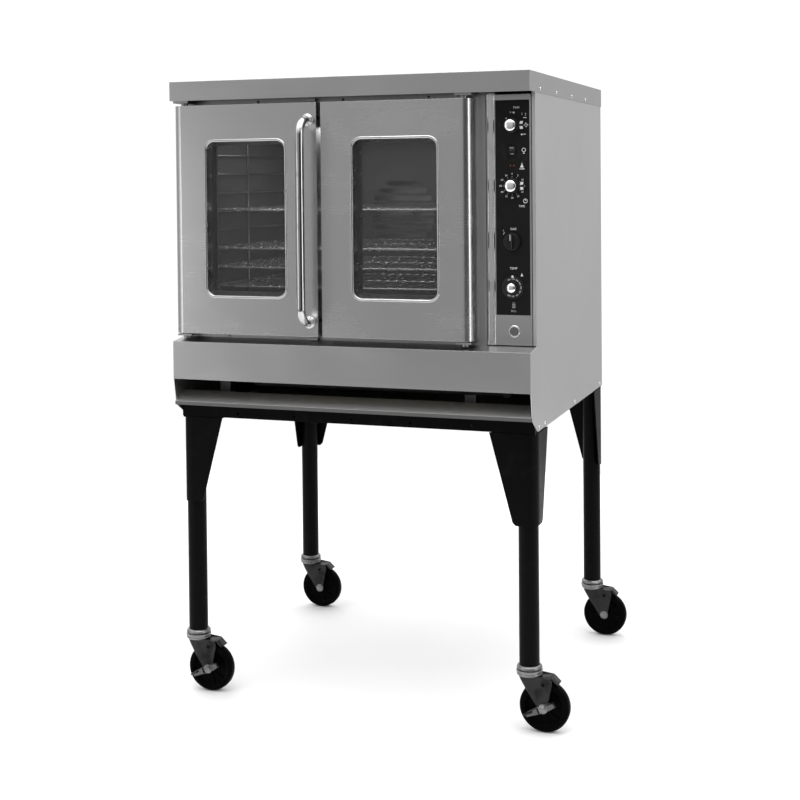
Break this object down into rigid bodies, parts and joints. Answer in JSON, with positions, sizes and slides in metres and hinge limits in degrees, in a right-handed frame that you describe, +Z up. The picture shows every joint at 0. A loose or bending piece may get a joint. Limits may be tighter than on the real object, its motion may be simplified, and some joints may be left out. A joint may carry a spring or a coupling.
{
  "type": "gas convection oven",
  "caption": "Single-deck gas convection oven with two windowed doors, wire racks and a side control strip, on a black leg stand with swivel casters.",
  "frame": {"origin": "on the floor, under the centre of the footprint of the whole oven", "axes": "+Z up; -Y is the front, the way the doors face; +X is to the right for a cook who faces the doors"},
  "size_m": [1.0507, 0.959, 1.626],
  "materials": {
    "brushed_stainless": "fine horizontal brush lines",
    "frame_steel": "dull stainless in the doors' shade",
    "polished_steel": "bright, lightly handled",
    "galvanised": "dull, spangled",
    "zinc_plate": "zinc plated, slightly dulled",
    "black_enamel": "semi-gloss black stove enamel",
    "black_film": "satin black overlay with pale marks",
    "dial_plastic": "charcoal knob with pale marks",
    "black_plastic": "moulded, satin",
    "lamp_lens": "clear coloured lens",
    "cavity_enamel": "speckled grey porcelain",
    "mineral_wool": "matted fibre",
    "cast_aluminium": "cast housing",
    "gas_pipe": "black iron pipe",
    "lamp_glass": "heat-proof jar",
    "seal_rubber": "silicone bulb seal",
    "window_glass": "dark heat-proof double pane",
    "wheel_tread": "moulded wheel and tread"
  },
  "bodies": {
    "oven_body": {"top_cap": "brushed_stainless", "left_side_panel": "brushed_stainless", "right_side_panel": "brushed_stainless", "back_panel": "galvanised", "base_pan": "galvanised", "front_frame": "frame_steel", "lower_front_panel": "brushed_stainless", "air_intake_lip": "brushed_stainless", "control_plate": "brushed_stainless", "control_overlay": "black_film", "control_post": "polished_steel", "buzzer_grille": "black_plastic", "indicator_lamps": "lamp_lens", "cavity_liner": "cavity_enamel", "insulation_wrap": "mineral_wool", "rack_guides": "polished_steel", "fan_baffle": "cavity_enamel", "blower_motor": "cast_aluminium", "burner_tubes": "galvanised", "gas_train": "gas_pipe", "flue_duct": "galvanised", "oven_lamps": "lamp_glass", "cord_gland": "black_plastic", "door_gasket": "seal_rubber", "door_hardware": "frame_steel", "panel_screws": "polished_steel", "stand_frame": "black_enamel", "leg_brackets": "black_enamel", "leg_tubes": "black_enamel", "caster_stems": "zinc_plate"},
    "left_door": {"left_door_shell": "brushed_stainless", "left_door_liner": "frame_steel", "left_door_glass": "window_glass", "left_window_trim": "polished_steel", "door_handle": "polished_steel"},
    "right_door": {"right_door_shell": "brushed_stainless", "right_door_liner": "frame_steel", "right_door_glass": "window_glass", "right_window_trim": "polished_steel"},
    "blower": {"blower_wheel": "galvanised"},
    "fan_selector": {"fan_knob": "dial_plastic"},
    "timer": {"timer_knob": "dial_plastic"},
    "gas_valve": {"gas_knob": "black_plastic"},
    "thermostat": {"thermostat_knob": "dial_plastic"},
    "rocker": {"rocker_switch": "black_plastic"},
    "rack_1": {"rack_1": "polished_steel"},
    "rack_2": {"rack_2": "polished_steel"},
    "rack_3": {"rack_3": "polished_steel"},
    "rack_4": {"rack_4": "polished_steel"},
    "caster_front_left": {"fork_front_left": "zinc_plate"},
    "wheel_front_left": {"wheel_front_left": "wheel_tread"},
    "caster_front_right": {"fork_front_right": "zinc_plate"},
    "wheel_front_right": {"wheel_front_right": "wheel_tread"},
    "caster_rear_left": {"fork_rear_left": "zinc_plate"},
    "wheel_rear_left": {"wheel_rear_left": "wheel_tread"},
    "caster_rear_right": {"fork_rear_right": "zinc_plate"},
    "wheel_rear_right": {"wheel_rear_right": "wheel_tread"},
    "brake_lever_front_left": {"brake_front_left": "zinc_plate"},
    "brake_lever_front_right": {"brake_front_right": "zinc_plate"}
  },
  "joints": [
    {"name": "left_door_hinge", "type": "hinge", "parent": "oven_body", "child": "left_door", "pos_m": [-0.49405, -0.3915, 0.966], "axis": [0, 0, -1], "range_deg": [0, 125]},
    {"name": "right_door_hinge", "type": "hinge", "parent": "oven_body", "child": "right_door", "pos_m": [0.27395, -0.3915, 0.966], "axis": [0, 0, 1], "range_deg": [0, 125]},
    {"name": "blower_spin", "type": "hinge", "parent": "oven_body", "child": "blower", "pos_m": [-0.10105, 0.2485, 1.265], "axis": [0, 1, 0], "continuous": true},
    {"name": "fan_selector_turn", "type": "hinge", "parent": "oven_body", "child": "fan_selector", "pos_m": [0.38845, -0.3615, 1.496], "axis": [0, -1, 0], "range_deg": [-45, 45]},
    {"name": "timer_turn", "type": "hinge", "parent": "oven_body", "child": "timer", "pos_m": [0.38845, -0.3615, 1.347], "axis": [0, 1, 0], "range_deg": [0, 330]},
    {"name": "gas_valve_turn", "type": "hinge", "parent": "oven_body", "child": "gas_valve", "pos_m": [0.38845, -0.3615, 1.21], "axis": [0, -1, 0], "range_deg": [0, 90]},
    {"name": "thermostat_turn", "type": "hinge", "parent": "oven_body", "child": "thermostat", "pos_m": [0.38845, -0.3615, 1.097], "axis": [0, 1, 0], "range_deg": [0, 300]},
    {"name": "rocker_press", "type": "hinge", "parent": "oven_body", "child": "rocker", "pos_m": [0.38845, -0.3565, 1.433], "axis": [1, 0, 0], "range_deg": [0, 14]},
    {"name": "rack_1_slide", "type": "slide", "parent": "oven_body", "child": "rack_1", "axis": [0, -1, 0], "range_m": [0, 0.025]},
    {"name": "rack_2_slide", "type": "slide", "parent": "oven_body", "child": "rack_2", "axis": [0, -1, 0], "range_m": [0, 0.025]},
    {"name": "rack_3_slide", "type": "slide", "parent": "oven_body", "child": "rack_3", "axis": [0, -1, 0], "range_m": [0, 0.025]},
    {"name": "rack_4_slide", "type": "slide", "parent": "oven_body", "child": "rack_4", "axis": [0, -1, 0], "range_m": [0, 0.025]},
    {"name": "front_left_swivel", "type": "hinge", "parent": "oven_body", "child": "caster_front_left", "pos_m": [-0.49465, -0.3491, 0.15], "axis": [0, 0, 1], "continuous": true},
    {"name": "front_left_roll", "type": "hinge", "parent": "caster_front_left", "child": "wheel_front_left", "pos_m": [-0.45565, -0.3491, 0.0635], "axis": [0, 1, 0], "continuous": true},
    {"name": "front_right_swivel", "type": "hinge", "parent": "oven_body", "child": "caster_front_right", "pos_m": [0.42055, -0.3491, 0.15], "axis": [0, 0, 1], "continuous": true},
    {"name": "front_right_roll", "type": "hinge", "parent": "caster_front_right", "child": "wheel_front_right", "pos_m": [0.45955, -0.3491, 0.0635], "axis": [0, 1, 0], "continuous": true},
    {"name": "rear_left_swivel", "type": "hinge", "parent": "oven_body", "child": "caster_rear_left", "pos_m": [-0.49465, 0.4186, 0.15], "axis": [0, 0, 1], "continuous": true},
    {"name": "rear_left_roll", "type": "hinge", "parent": "caster_rear_left", "child": "wheel_rear_left", "pos_m": [-0.45565, 0.4186, 0.0635], "axis": [0, 1, 0], "continuous": true},
    {"name": "rear_right_swivel", "type": "hinge", "parent": "oven_body", "child": "caster_rear_right", "pos_m": [0.42055, 0.4186, 0.15], "axis": [0, 0, 1], "continuous": true},
    {"name": "rear_right_roll", "type": "hinge", "parent": "caster_rear_right", "child": "wheel_rear_right", "pos_m": [0.45955, 0.4186, 0.0635], "axis": [0, 1, 0], "continuous": true},
    {"name": "front_left_brake", "type": "hinge", "parent": "caster_front_left", "child": "brake_lever_front_left", "pos_m": [-0.45565, -0.3731, 0.0635], "axis": [0, 1, 0], "range_deg": [-12, 12]},
    {"name": "front_right_brake", "type": "hinge", "parent": "caster_front_right", "child": "brake_lever_front_right", "pos_m": [0.45955, -0.3731, 0.0635], "axis": [0, 1, 0], "range_deg": [-12, 12]}
  ],
  "couplings": [
    {"joint": "right_door_hinge", "follows": "left_door_hinge", "ratio": 1}
  ]
}
